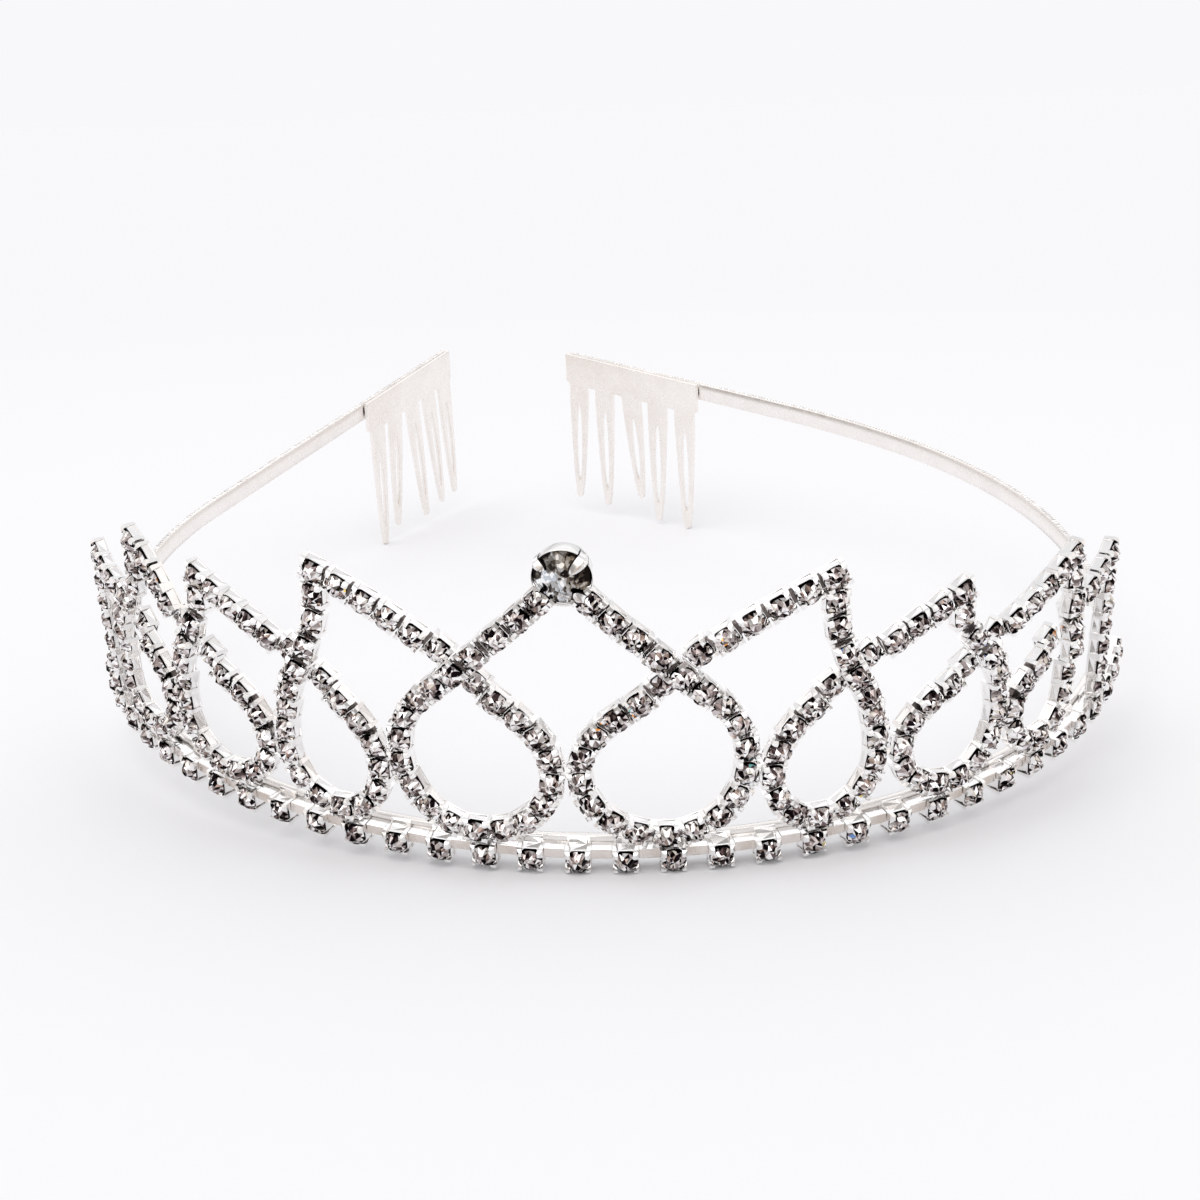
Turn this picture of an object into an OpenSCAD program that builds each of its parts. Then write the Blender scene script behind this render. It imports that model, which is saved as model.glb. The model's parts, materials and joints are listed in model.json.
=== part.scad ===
// Rhinestone tiara: an open metal headband with a row of stone cups, four pairs of
// crossed loops rising to a round centre stone, and a slit comb at each end.
// Millimetres, +Z up, standing on the floor as it rests: on the front of the stone row
// and on the foremost tooth of each comb. Origin at the floor under the overall middle.
// Left is -X and right is +X, seen from the front.

/* [Headband] */
// Height of the metal strip
band_height = 3.0; // [2:0.1:5]
// Thickness of the metal strip
band_thickness = 0.8; // [0.5:0.1:1.2]
// Length of the left side, from the centre to its end along the strip
left_length = 206.5; // [190:0.5:220]
// Length of the right side
right_length = 235; // [220:0.5:250]
// How far the strip leans back from the floor when it rests on the combs, degrees
rest_tilt = 10; // [6:0.5:14]

/* [Stone row] */
// Height of a stone cup
cup_height = 2.9; // [2:0.1:4]
// How far the cups stand out in front of the middle of the strip
cup_reach = 2.4; // [1.8:0.1:3.5]
// Spacing of the cups along the strip
cup_pitch = 5; // [4:0.1:7]
// Number of cups left of the centre
cups_left = 16; // [10:1:18]
// Number of cups right of the centre
cups_right = 17; // [10:1:18]

/* [Loops] */
// Width of the chain of small stones
chain_width = 2.5; // [1.6:0.1:2.6]
// Depth of the chain, front to back
chain_depth = 1.8; // [1.2:0.1:1.8]

/* [Centre stone] */
// Diameter of the glass
glass_diameter = 6; // [4:0.1:7]
// Height of its middle above the lower edge of the cups
glass_rise = 35.1; // [34:0.1:38]
// Wall of the round setting
setting_wall = 0.4; // [0.3:0.05:0.6]
// Depth of the setting, front to back
setting_depth = 2.4; // [2.2:0.1:4]

/* [Combs] */
// Length of a comb along the strip
comb_length = 31; // [26:0.5:34]
// Thickness of the comb plate
comb_thickness = 0.7; // [0.5:0.1:1]
// Depth of the spine below the top of the strip
spine_height = 5.2; // [4:0.1:7]
// Width of a tooth where it leaves the spine
tooth_width = 4.4; // [3.5:0.1:5]
// Width of the slit in a tooth
slit_width = 1.5; // [0.8:0.1:2]

/* [Hidden] */

// Solder gap between pieces that are joined on the real one.
gap = 0.15;
// Lower edge of the strip above the lower edge of the cups.
band_base = 0.45;
band_top = band_base + band_height;
band_face = band_thickness / 2;
// Heading of the strip at the centre, degrees; it points slightly forward to the right.
centre_heading = -6.4;

// The course of the strip from the centre outwards, each row one bend:
// [length along the strip, turn towards the back in degrees]
left_bends = [
    [46, 35.2],
    [30, 29.4],
    [24, 16.2],
    [30, 27.4],
    [left_length - 130, 0]
];
right_bends = [
    [46, 38.6],
    [34, 35.1],
    [34, 25.7],
    [24, 20.3],
    [24, 16.4],
    [24, 9.8],
    [right_length - 186, 0]
];

// Loops of one side, from the centre outwards. Distances along the strip from the
// centre and heights above the lower edge of the cups:
// [crossing, its height, outer side, its height, base, its height,
//  inner side, its height, peak, its height]
left_loops = [
    [11.5, 24.0, 18.3, 13.5, 10.0, 4.5, 2.0, 12.0, 26.5, 33.3],
    [29.5, 21.3, 32.5, 11.0, 26.2, 4.5, 20.9, 10.5, 43.4, 28.6],
    [45.9, 19.8, 48.6, 10.5, 42.0, 4.5, 35.5, 10.2, 55.7, 29.1],
    [59.8, 18.7, 63.0, 9.0, 57.0, 4.5, 51.4, 10.0, 69.9, 21.9]
];
right_loops = [
    [11.4, 24.1, 18.1, 13.0, 9.8, 4.5, 0.9, 12.0, 27.0, 32.9],
    [29.4, 21.4, 32.3, 11.5, 26.0, 4.5, 20.8, 10.4, 42.2, 27.7],
    [46.0, 19.3, 48.2, 11.5, 42.0, 4.5, 35.4, 10.4, 60.3, 26.0],
    [60.0, 17.3, 60.8, 10.0, 56.0, 4.5, 50.9, 9.4, 71.4, 21.6]
];
// Start of the first strand beside the centre setting: [out, below its middle]
first_step = [2.5, 2.7];
// Where the straight strand at each side comes down, left and right.
drop_place = [70.6, 71.2];

// Teeth of a comb, from its end nearest the front:
// [root from that end, tip from that end, tip below the spine's lower edge]
// The first tip of each comb reaches the floor, whatever its own length says.
left_teeth = [
    [3.2, 2.4, 23.2],
    [9.6, 7.4, 21.4],
    [15.8, 18.0, 23.8],
    [22.0, 24.4, 23.6],
    [28.2, 29.6, 23.6]
];
right_teeth = [
    [3.0, 2.4, 23.4],
    [9.2, 9.2, 23.8],
    [15.4, 13.4, 20.2],
    [21.8, 21.7, 23.8],
    [28.0, 28.8, 23.8]
];

// Start of each bend: [distance, x, y, heading, length, turn]
function courses(bends, heading, i = 0, s = 0, x = 0, y = 0) =
    i == len(bends) ? [] : concat(
        [[s, x, y, heading, bends[i][0], bends[i][1]]],
        courses(bends, heading + bends[i][1], i + 1, s + bends[i][0],
            x + run_x(bends[i][0], bends[i][1], heading),
            y + run_y(bends[i][0], bends[i][1], heading)));
function bend_radius(run, turn) = run / (turn * PI / 180);
function run_x(run, turn, heading) = turn == 0
    ? run * cos(heading)
    : bend_radius(run, turn) * (sin(heading + turn) - sin(heading));
function run_y(run, turn, heading) = turn == 0
    ? run * sin(heading)
    : bend_radius(run, turn) * (cos(heading) - cos(heading + turn));

left_course = courses(left_bends, -centre_heading);
right_course = courses(right_bends, centre_heading);

function bend_at(course, s) =
    course[max([for (i = [0:len(course) - 1]) if (course[i][0] <= max(s, 0)) i])];
function heading_at(course, s) = let (b = bend_at(course, s))
    b[3] + b[5] * (s - b[0]) / b[4];
// Point at a distance along the strip, a height and a reach in front of its middle.
function spot(course, s, w, reach) = let (
        b = bend_at(course, s),
        run = s - b[0],
        turn = b[5] * run / b[4],
        h = b[3] + turn
    )
    [b[1] + run_x(run, turn, b[3]) + reach * sin(h),
        b[2] + run_y(run, turn, b[3]) - reach * cos(h),
        w];

row_end_left = cups_left * cup_pitch + 1.5;
row_end_right = cups_right * cup_pitch + 1.8;

// The same with distances left of the centre negative.
function on_strip(s, w, reach) = s < 0
    ? let (p = spot(left_course, -s, w, reach)) [-p[0], p[1], p[2]]
    : spot(right_course, s, w, reach);

// Bevel along the stone row.
row_edge = 0.35;

// Middle and lift that put the origin on the floor under the overall middle.
row_sides = [for (s = [-row_end_left:0.5:row_end_right]) on_strip(s, 0, cup_reach)[0]];
strip_sides = [for (s = [-left_length:0.5:right_length]) on_strip(s, 0, band_face)[0]];
middle_x = (max(concat(row_sides, strip_sides)) + min(concat(row_sides, strip_sides))) / 2;
front_y = min([for (s = [0:0.5:20]) on_strip(s, 0, cup_reach - row_edge)[1]]);
floor_drop = -front_y * sin(rest_tilt);
middle_y = 78.3;

// Everything is drawn with the strip level and set down tilted on the floor.
module set_down() {
    translate([-middle_x, -middle_y, floor_drop])
        rotate([rest_tilt, 0, 0])
            children();
}

module headband() {
    steps = 120;
    stops = [for (i = [0:steps]) -left_length + (left_length + right_length) * i / steps];
    front = [for (s = stops) let (p = on_strip(s, 0, band_face)) [p[0], p[1]]];
    back = [for (i = [steps:-1:0]) let (p = on_strip(stops[i], 0, -band_face)) [p[0], p[1]]];
    color("silver")
        set_down()
            translate([0, 0, band_base])
                linear_extrude(band_height)
                    polygon(concat(front, back));
}

// Corners of an eight-sided section: [across the chain, reach]
function section_of(a, d, e) =
    [[a, -d + e], [a, d - e], [a - e, d], [-a + e, d],
        [-a, d - e], [-a, -d + e], [-a + e, -d], [a - e, -d]];

// A chain of stone cups as one tube through points of
// [distance, height, heading, reach], on the right side (1) or the left (-1).
module chain(path, section, side = 1) {
    sides = len(section);
    points = [for (p = path) for (c = section)
        on_strip(side * (p[0] - c[0] * sin(p[2])), p[1] + c[0] * cos(p[2]), p[3] + c[1])];
    last = (len(path) - 1) * sides;
    walls = [for (i = [0:len(path) - 2]) for (j = [0:sides - 1]) let (
            k = (j + 1) % sides,
            a = i * sides + j,
            b = i * sides + k,
            c = (i + 1) * sides + j,
            d = (i + 1) * sides + k
        )
        each [[a, b, d], [a, d, c]]];
    ends = [for (j = [1:sides - 2]) each [[0, j + 1, j], [last, last + j, last + j + 1]]];
    faces = concat(walls, ends);
    polyhedron(points = points, faces = side > 0
        ? faces
        : [for (f = faces) [f[0], f[2], f[1]]]);
}

module stone_row() {
    steps = 56;
    back = band_face + gap;
    depth = (cup_reach - back) / 2;
    path = [for (i = [0:steps])
        [-row_end_left + (row_end_left + row_end_right) * i / steps,
            cup_height / 2, 0, back + depth]];
    color("gainsboro")
        set_down()
            chain(path, section_of(cup_height / 2, depth, row_edge));
}

// Smooth curve between two points of [distance, height, heading], as such points.
function curve(a, b, steps, pull = 1.15) = let (
        d = norm([b[0] - a[0], b[1] - a[1]]) * pull,
        da = [d * cos(a[2]), d * sin(a[2])],
        db = [d * cos(b[2]), d * sin(b[2])]
    )
    [for (i = [0:steps]) let (
            t = i / steps,
            at = [for (k = [0:1]) (2 * t ^ 3 - 3 * t ^ 2 + 1) * a[k]
                + (t ^ 3 - 2 * t ^ 2 + t) * da[k]
                + (3 * t ^ 2 - 2 * t ^ 3) * b[k] + (t ^ 3 - t ^ 2) * db[k]],
            go = [for (k = [0:1]) (6 * t ^ 2 - 6 * t) * a[k]
                + (3 * t ^ 2 - 4 * t + 1) * da[k]
                + (6 * t - 6 * t ^ 2) * b[k] + (3 * t ^ 2 - 2 * t) * db[k]]
        )
        [at[0], at[1], atan2(go[1], go[0])]];

function skip_first(list) = [for (i = [1:len(list) - 1]) list[i]];
function joined(parts) = [for (i = [0:len(parts) - 1])
    for (p = i == 0 ? parts[i] : skip_first(parts[i])) p];

loop_section = section_of(chain_width / 2, chain_depth / 2, 0.45);
loop_reach = cup_reach - 0.05 - chain_depth / 2;

// Where two strands cross, one passes in front and the other behind. This eases a
// strand off its course by a distance that is full at the crossing.
function eased(path, cross, shift) = [for (p = path) let (
        far = norm([p[0] - cross[0], p[1] - cross[1]]),
        t = min(max((far - 1.8) / 3.6, 0), 1)
    )
    [p[0], p[1], p[2], loop_reach + shift * (1 - t * t * (3 - 2 * t))]];

// One loop: down from the peak before it, through the crossing and round the outer
// side, then up the inner side, back through the crossing and on to the next peak.
module loop(loops, index, side) {
    row = loops[index];
    first = index == 0;
    start = first
        ? [first_step[0], glass_rise - first_step[1], -47]
        : [loops[index - 1][8] + 0.2, loops[index - 1][9] - 2.85, -88];
    cross_down = [row[0], row[1], first ? -44 : -63];
    cross_up = [row[0], row[1], first ? 45 : 35];
    outer = [row[2], row[3], -90];
    base = [row[4], row[5], 180];
    inner = [row[6], row[7], 90];
    peak = [row[8], row[9], 22];
    down = joined([
        curve(start, cross_down, 6, 1),
        curve(cross_down, outer, 6),
        curve(outer, base, 6)
    ]);
    up = joined([
        curve(base, inner, 6),
        curve(inner, cross_up, 7),
        curve(cross_up, peak, 7, 1)
    ]);
    shift = chain_depth / 2 + 0.08;
    chain(joined([eased(down, row, shift), eased(up, row, -shift)]), loop_section, side);
}

module left_loop(index) {
    color("lightgray")
        set_down()
            loop(left_loops, index, -1);
}

module right_loop(index) {
    color("lightgray")
        set_down()
            loop(right_loops, index, 1);
}

module loop_left_1() { left_loop(0); }
module loop_left_2() { left_loop(1); }
module loop_left_3() { left_loop(2); }
module loop_left_4() { left_loop(3); }
module loop_right_1() { right_loop(0); }
module loop_right_2() { right_loop(1); }
module loop_right_3() { right_loop(2); }
module loop_right_4() { right_loop(3); }

// Straight strand from the last peak down to the stone row.
module drop(s, peak_height, side) {
    foot = cup_height + 0.25;
    top = peak_height - 2.2;
    path = [for (i = [0:4]) [s, top + (foot - top) * i / 4, -90, loop_reach]];
    color("lightgray")
        set_down()
            chain(path, loop_section, side);
}

module drop_left() { drop(drop_place[0], left_loops[3][9], -1); }
module drop_right() { drop(drop_place[1], right_loops[3][9], 1); }

// Frame of the centre stone: +Z points forward out of the glass, +Y up.
glass_seat = cup_reach - 0.4;
module at_centre() {
    set_down()
        rotate([0, 0, centre_heading])
            translate([0, -glass_seat, glass_rise])
                rotate([90, 0, 0])
                    children();
}

module centre_setting() {
    inside = glass_diameter / 2 + 0.05;
    outside = glass_diameter / 2 + setting_wall;
    floor_thickness = 0.6;
    claw_angles = [38, 147, 228, 312];
    color("silver")
        at_centre() {
            difference() {
                translate([0, 0, -setting_depth])
                    cylinder(h = setting_depth, r1 = outside - 0.3, r2 = outside, $fn = 64);
                translate([0, 0, floor_thickness - setting_depth])
                    cylinder(h = setting_depth, r = inside, $fn = 64);
            }
            for (a = claw_angles)
                rotate([0, 0, a])
                    translate([inside - 0.45, -0.55, 0])
                        claw();
        }
}

// Claw standing on the rim, its tip bent in over the edge of the glass.
module claw() {
    reach_in = 0.45 + setting_wall - 0.15;
    rotate([90, 0, 0])
        translate([0, 0, -1.1])
            linear_extrude(1.1)
                polygon([
                    [0.5, -0.3],
                    [reach_in, -0.3],
                    [reach_in, 0.5],
                    [reach_in - 0.3, 0.95],
                    [0.1, 1.05],
                    [0, 0.75],
                    [0.5, 0.5]
                ]);
}

// Round glass: a pointed back, a straight girdle and a sloping front with a flat.
module centre_stone() {
    radius = glass_diameter / 2 - 0.05;
    color("dimgray")
        at_centre()
            translate([0, 0, 0.05]) {
                translate([0, 0, -1.75])
                    cylinder(h = 1.35, r1 = 0.6, r2 = radius, $fn = 64);
                translate([0, 0, -0.4])
                    cylinder(h = 0.6, r = radius, $fn = 64);
                translate([0, 0, 0.2])
                    cylinder(h = 1.1, r1 = radius, r2 = radius - 1.3, $fn = 64);
            }
}

// Drop from the spine's lower edge that puts a tooth tip on the floor.
function floor_reach(course, s) = let (
        p = spot(course, s, 0, -band_face - gap - comb_thickness)
    )
    (floor_drop + p[1] * sin(rest_tilt)) / cos(rest_tilt) + band_top - spine_height;

tip_radius = 0.8;
// Outline of a tooth, from just inside the spine to its tip.
function tooth_outline(root, tip, drop) = let (
        half = tooth_width / 2,
        middle = (root + tip) / 2
    )
    [
        [root - half, 1],
        [root + half, 1],
        [root + half - 0.1, -1],
        [middle + half - 0.5, -drop * 0.55],
        [tip + tip_radius, tip_radius - drop],
        [tip - tip_radius, tip_radius - drop],
        [middle - half + 0.5, -drop * 0.55],
        [root - half + 0.1, -1]
    ];
// Outline of the slit in a tooth.
function slit_outline(root, tip, drop) = let (
        slit = slit_width / 2,
        lean = (tip - root) / drop,
        top = root + lean * 4,
        middle = (root + tip) / 2
    )
    [
        [top, -3.1],
        [top + slit, -4.8],
        [middle + slit, -drop * 0.5],
        [root + lean * (drop - 4.6), 4.6 - drop],
        [middle - slit, -drop * 0.5],
        [top - slit, -4.8]
    ];

// Flat comb soldered behind the last stretch of the strip.
module comb(course, full_length, teeth) {
    start = full_length - comb_length;
    foot = spot(course, start, 0, 0);
    drops = [for (i = [0:len(teeth) - 1]) i == 0
        ? floor_reach(course, start + teeth[0][1])
        : teeth[i][2]];
    translate([foot[0], foot[1], 0])
        rotate([0, 0, heading_at(course, start)])
            translate([0, band_face + gap + comb_thickness, band_top - spine_height])
                rotate([90, 0, 0])
                    difference() {
                        union() {
                            cube([comb_length, spine_height, comb_thickness]);
                            for (i = [0:len(teeth) - 1]) {
                                linear_extrude(comb_thickness)
                                    polygon(tooth_outline(teeth[i][0], teeth[i][1], drops[i]));
                                translate([teeth[i][1], tip_radius - drops[i], 0])
                                    cylinder(h = comb_thickness, r = tip_radius, $fn = 32);
                            }
                        }
                        for (i = [0:len(teeth) - 1])
                            translate([0, 0, -1])
                                linear_extrude(comb_thickness + 2)
                                    polygon(slit_outline(teeth[i][0], teeth[i][1], drops[i]));
                    }
}

module comb_left() {
    color("silver")
        set_down()
            mirror([1, 0, 0])
                comb(left_course, left_length, left_teeth);
}

module comb_right() {
    color("silver")
        set_down()
            comb(right_course, right_length, right_teeth);
}

headband();
stone_row();
loop_left_1();
loop_left_2();
loop_left_3();
loop_left_4();
loop_right_1();
loop_right_2();
loop_right_3();
loop_right_4();
drop_left();
drop_right();
centre_setting();
centre_stone();
comb_left();
comb_right();
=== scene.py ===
"""Rhinestone tiara: a metal strip, a row of stone cups, crossed loops of cup chain,
a round centre stone and two slit combs. Sizes are in millimetres, turned to metres
as each mesh is made."""

import json
import math

import bmesh
import bpy
import numpy as np
from mathutils import Matrix

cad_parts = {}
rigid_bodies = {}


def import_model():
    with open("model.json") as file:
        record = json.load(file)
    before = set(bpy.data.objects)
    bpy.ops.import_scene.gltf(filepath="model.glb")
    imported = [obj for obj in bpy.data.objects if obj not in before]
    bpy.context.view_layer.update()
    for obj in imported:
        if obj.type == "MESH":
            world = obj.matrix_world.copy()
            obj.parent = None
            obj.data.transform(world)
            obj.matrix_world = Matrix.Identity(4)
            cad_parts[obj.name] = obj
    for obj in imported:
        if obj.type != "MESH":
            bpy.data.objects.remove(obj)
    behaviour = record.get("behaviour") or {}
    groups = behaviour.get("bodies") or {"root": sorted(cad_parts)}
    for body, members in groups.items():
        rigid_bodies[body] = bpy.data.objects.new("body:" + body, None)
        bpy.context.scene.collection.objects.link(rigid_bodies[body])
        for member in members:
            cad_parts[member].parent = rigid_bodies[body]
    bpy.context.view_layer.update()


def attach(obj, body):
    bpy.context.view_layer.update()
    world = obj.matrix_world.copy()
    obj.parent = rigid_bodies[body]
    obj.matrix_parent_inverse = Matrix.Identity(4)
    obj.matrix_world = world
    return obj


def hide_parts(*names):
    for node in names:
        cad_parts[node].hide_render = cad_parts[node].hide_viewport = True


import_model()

MM = 0.001

# The strip, as the metal part has it: length on each side of the centre, its edges
# above the lower edge of the cups, half its thickness, and the tilt and the shift
# that set the tiara down on the floor.
LEFT_LENGTH = 206.5
RIGHT_LENGTH = 235.0
BAND_BASE = 0.45
BAND_TOP = 3.45
BAND_FACE = 0.4
REST_TILT = 10.0
CENTRE_HEADING = -6.4
SET_DOWN = (-4.5335, -78.3, 0.42985)
# Distance from the centre beyond which the strip runs bare, with ticks on its edge.
ARM_START = 84.0
TICK_PITCH = 0.62

# Bends from the centre outwards: length along the strip, turn towards the back.
LEFT_BENDS = [(46, 35.2), (30, 29.4), (24, 16.2), (30, 27.4), (76.5, 0)]
RIGHT_BENDS = [
    (46, 38.6),
    (34, 35.1),
    (34, 25.7),
    (24, 20.3),
    (24, 16.4),
    (24, 9.8),
    (49, 0),
]

# Loops of one side: crossing, outer side, base, inner side and peak, each as the
# distance along the strip and the height above the lower edge of the cups.
LEFT_LOOPS = [
    [(11.5, 24.0), (18.3, 13.5), (10.0, 4.5), (2.0, 12.0), (26.5, 33.3)],
    [(29.5, 21.3), (32.5, 11.0), (26.2, 4.5), (20.9, 10.5), (43.4, 28.6)],
    [(45.9, 19.8), (48.6, 10.5), (42.0, 4.5), (35.5, 10.2), (55.7, 29.1)],
    [(59.8, 18.7), (63.0, 9.0), (57.0, 4.5), (51.4, 10.0), (69.9, 21.9)],
]
RIGHT_LOOPS = [
    [(11.4, 24.1), (18.1, 13.0), (9.8, 4.5), (0.9, 12.0), (27.0, 32.9)],
    [(29.4, 21.4), (32.3, 11.5), (26.0, 4.5), (20.8, 10.4), (42.2, 27.7)],
    [(46.0, 19.3), (48.2, 11.5), (42.0, 4.5), (35.4, 10.4), (60.3, 26.0)],
    [(60.0, 17.3), (60.8, 10.0), (56.0, 4.5), (50.9, 9.4), (71.4, 21.6)],
]
DROP_PLACE = {"left": 70.6, "right": 71.2}
# First cup of a straight strand below its peak, and the height of its last cup.
DROP_STEP = 3.55
DROP_FOOT = 4.5
# Where a loop's first cup is, out and down: from the centre stone, and from a peak.
FIRST_STEP = (2.5, 2.7)
NEXT_STEP = (0.2, 2.85)
# Headings of a loop's chain in degrees, at its start, down through its crossing and up
# through it, then at every peak. The pull says how full the round part is.
FIRST_HEADINGS = (-47, -44, 45)
NEXT_HEADINGS = (-88, -63, 35)
PEAK_HEADING = 22
LOOP_PULL = 1.15

# Row of single cups, and height and reach of the link bars between them and of the
# solder pads on the strip behind them.
ROW_PITCH = 5.0
ROW_START = 0.28
ROW_LEFT = 16
ROW_RIGHT = 17
ROW_REACH = 1.475
ROW_HEIGHT = 1.45
LINK_PLACE = (2.22, 1.45)
PAD_PLACE = (2.95, 0.5)

# Cup chain of the loops. Near a crossing one strand shifts forward and one back, fully
# out to CROSS_FLAT and then less over CROSS_EASE.
CHAIN_REACH = 1.45
CHAIN_PITCH = 2.95
CROSS_SHIFT = 0.98
CROSS_LEAD = 0.5
CROSS_FLAT = 1.8
CROSS_EASE = 3.6

# How far the stones sit below the middle of their cups and in front of it.
STONE_DROP = 0.17
STONE_LIFT = 0.72
ROW_STONE_DROP = 0.1
ROW_STONE_LIFT = 0.86

# Centre setting: the glass, the height of the collar's middle, how far the glass sits
# above that, and the reach of the collar's rim.
GLASS_RADIUS = 2.86
GLASS_RISE = 35.1
GLASS_LIFT = 0.18
GLASS_SEAT = 2.0

# Claws of the centre: turn from level on the right, length over the glass, half-width.
CENTRE_CLAWS = [(44, 1.75, 0.62), (145, 1.05, 0.48), (214, 0.5, 0.42), (314, 1.25, 0.6)]

# Section of such a claw, as (across, lift): skirt, edge, flank, ridge, flank, edge,
# skirt and underside.
CLAW_SECTION = [
    (-1.2, -0.12), (-1, 0), (-0.55, 0.14), (0, 0.4), (0.45, 0.14), (1, 0), (1.2, -0.12),
    (0, -0.2),
]

# Combs: plate, gap to the strip, rounding of its edges. A tooth has its half-width at
# the spine and the radius of its tip. Its sides and its slit each run from TOP below
# the spine to FOOT above the tip.
COMB_LENGTH = 31.0
COMB_THICKNESS = 0.7
COMB_GAP = 0.15
COMB_EDGE = 0.14
SPINE_HEIGHT = 5.2
TOOTH_HALF = 2.15
TIP_RADIUS = 0.62
TOOTH_TOP = 0.6
TOOTH_FOOT = 0.8
SLIT_HALF = 0.72
SLIT_TOP = 4.1
SLIT_FOOT = 3.5

# Teeth of a comb: root and tip from the end nearest the front, drop below the spine.
LEFT_TEETH = [
    (3.2, 2.4, 23.17),
    (9.6, 7.4, 21.4),
    (15.8, 18.0, 23.8),
    (22.0, 24.4, 23.6),
    (28.2, 29.6, 23.6),
]
RIGHT_TEETH = [
    (3.0, 2.4, 23.71),
    (9.2, 9.2, 23.8),
    (15.4, 13.4, 20.2),
    (21.8, 21.7, 23.8),
    (28.0, 28.8, 23.8),
]

# Camera of the photograph: place in metres, degrees down, degrees of roll, and lens.
# Then the strength of the studio's light and the reach of its floor.
CAMERA_PLACE = (-0.00107, -0.25142, 0.0817)
CAMERA_DOWN = 16.68
CAMERA_ROLL = 2.11
CAMERA_LENS = 52.24
STUDIO_STRENGTH = 1.2
FLOOR_RADIUS = 5000.0


# The strip's course.


def bend_run(length, turn, heading):
    """Distance right and back that a bend covers from a heading, in degrees."""
    h = math.radians(heading)
    t = math.radians(turn)
    if turn == 0:
        return length * math.cos(h), length * math.sin(h)
    radius = length / t
    return (
        radius * (math.sin(h + t) - math.sin(h)),
        radius * (math.cos(h) - math.cos(h + t)),
    )


def course_of(bends, heading):
    """Each bend with where it starts: distance, x, y, heading, length, turn."""
    course = []
    s = x = y = 0.0
    for length, turn in bends:
        course.append((s, x, y, heading, length, turn))
        dx, dy = bend_run(length, turn, heading)
        s, x, y, heading = s + length, x + dx, y + dy, heading + turn
    return course


COURSE = {
    "left": course_of(LEFT_BENDS, -CENTRE_HEADING),
    "right": course_of(RIGHT_BENDS, CENTRE_HEADING),
}


def strip_point(s):
    """Middle of the strip and its heading at s, which is negative left of the centre."""
    course = COURSE["left" if s < 0 else "right"]
    run = abs(s)
    start, x, y, heading, length, turn = [b for b in course if b[0] <= run][-1]
    part = turn * (run - start) / length
    dx, dy = bend_run(run - start, part, heading)
    if s < 0:
        return -(x + dx), y + dy, math.radians(-(heading + part))
    return x + dx, y + dy, math.radians(heading + part)


def stand(points, is_way=False):
    """Tilts points or directions back as the tiara rests, and puts points on the floor."""
    t = math.radians(REST_TILT)
    tilt = np.array(
        [[1, 0, 0], [0, math.cos(t), -math.sin(t)], [0, math.sin(t), math.cos(t)]]
    )
    turned = np.array(points, float).reshape(-1, 3) @ tilt.T
    return turned if is_way else turned + SET_DOWN


def on_strip(s, w, reach):
    """Point at a distance along the strip, a height and a reach in front of its middle."""
    x, y, h = strip_point(s)
    return x + reach * math.sin(h), y - reach * math.cos(h), w


def ways_at(s, lean=0.0):
    """Outward direction at s, and the direction that leans up from the strip's by lean."""
    h = strip_point(s)[2]
    outward = (math.sin(h), -math.cos(h), 0)
    along = (math.cos(lean) * math.cos(h), math.cos(lean) * math.sin(h), math.sin(lean))
    return outward, along


# Meshes.


def mesh_piece(name, points, faces):
    """A mesh object with flat faces from points in millimetres."""
    mesh = bpy.data.meshes.new(name)
    mesh.from_pydata((np.array(points, float) * MM).tolist(), [], faces)
    mesh.update()
    piece = bpy.data.objects.new(name, mesh)
    bpy.context.scene.collection.objects.link(piece)
    return piece


def place_marks(name, places):
    """Points for Geometry Nodes, each (point, outward, along) before the tilt."""
    points = stand([p[0] for p in places])
    piece = mesh_piece(name, points, [])
    for label, column in (("outward", 1), ("along", 2)):
        ways = stand([p[column] for p in places], is_way=True)
        store = piece.data.attributes.new(label, "FLOAT_VECTOR", "POINT")
        store.data.foreach_set("vector", ways.astype(np.float32).ravel())
    return piece


def ring_walls(rings, sides):
    """Quads between rings of points, each ring joined to the next."""
    return [
        (r * sides + i, r * sides + (i + 1) % sides,
         (r + 1) * sides + (i + 1) % sides, (r + 1) * sides + i)
        for r in range(rings - 1)
        for i in range(sides)
    ]


def tidy_outside(piece, weld=0.0):
    """Joins points nearer than weld and turns every face of a closed mesh outwards."""
    shape = bmesh.new()
    shape.from_mesh(piece.data)
    if weld:
        bmesh.ops.remove_doubles(shape, verts=shape.verts, dist=weld)
    bmesh.ops.recalc_face_normals(shape, faces=shape.faces)
    shape.to_mesh(piece.data)
    shape.free()
    return piece


def soften(piece, angle):
    """Smooth shading that keeps edges sharper than an angle."""
    piece.data.polygons.foreach_set("use_smooth", [True] * len(piece.data.polygons))
    piece.data.set_sharp_from_angle(angle=math.radians(angle))
    return piece


def keep(piece, slot, *nodes):
    """Fixes a finished piece to the tiara's one body."""
    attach(piece, "root")
    if nodes:
        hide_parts(*nodes)
    return piece


# Materials.


def add_node(tree, kind, settings=None, **inputs):
    """A node with its settings, and its inputs by name as values or as links."""
    made = tree.nodes.new(kind)
    for key, value in (settings or {}).items():
        setattr(made, key, value)
    for key, value in inputs.items():
        socket = made.inputs[int(key[1:]) if key[0] == "_" else key.replace("_", " ")]
        if isinstance(value, bpy.types.NodeSocket):
            tree.links.new(value, socket)
        else:
            socket.default_value = value
    return made


def maths(tree, operation, *values):
    """Output of a Math node."""
    inputs = {f"_{i}": value for i, value in enumerate(values)}
    made = add_node(tree, "ShaderNodeMath", {"operation": operation}, **inputs)
    return made.outputs[0]


def spread(tree, value, low, high, **source):
    """Output of a Map Range node from low to high."""
    made = add_node(
        tree, "ShaderNodeMapRange", Value=value, To_Min=low, To_Max=high, **source
    )
    return made.outputs["Result"]


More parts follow.
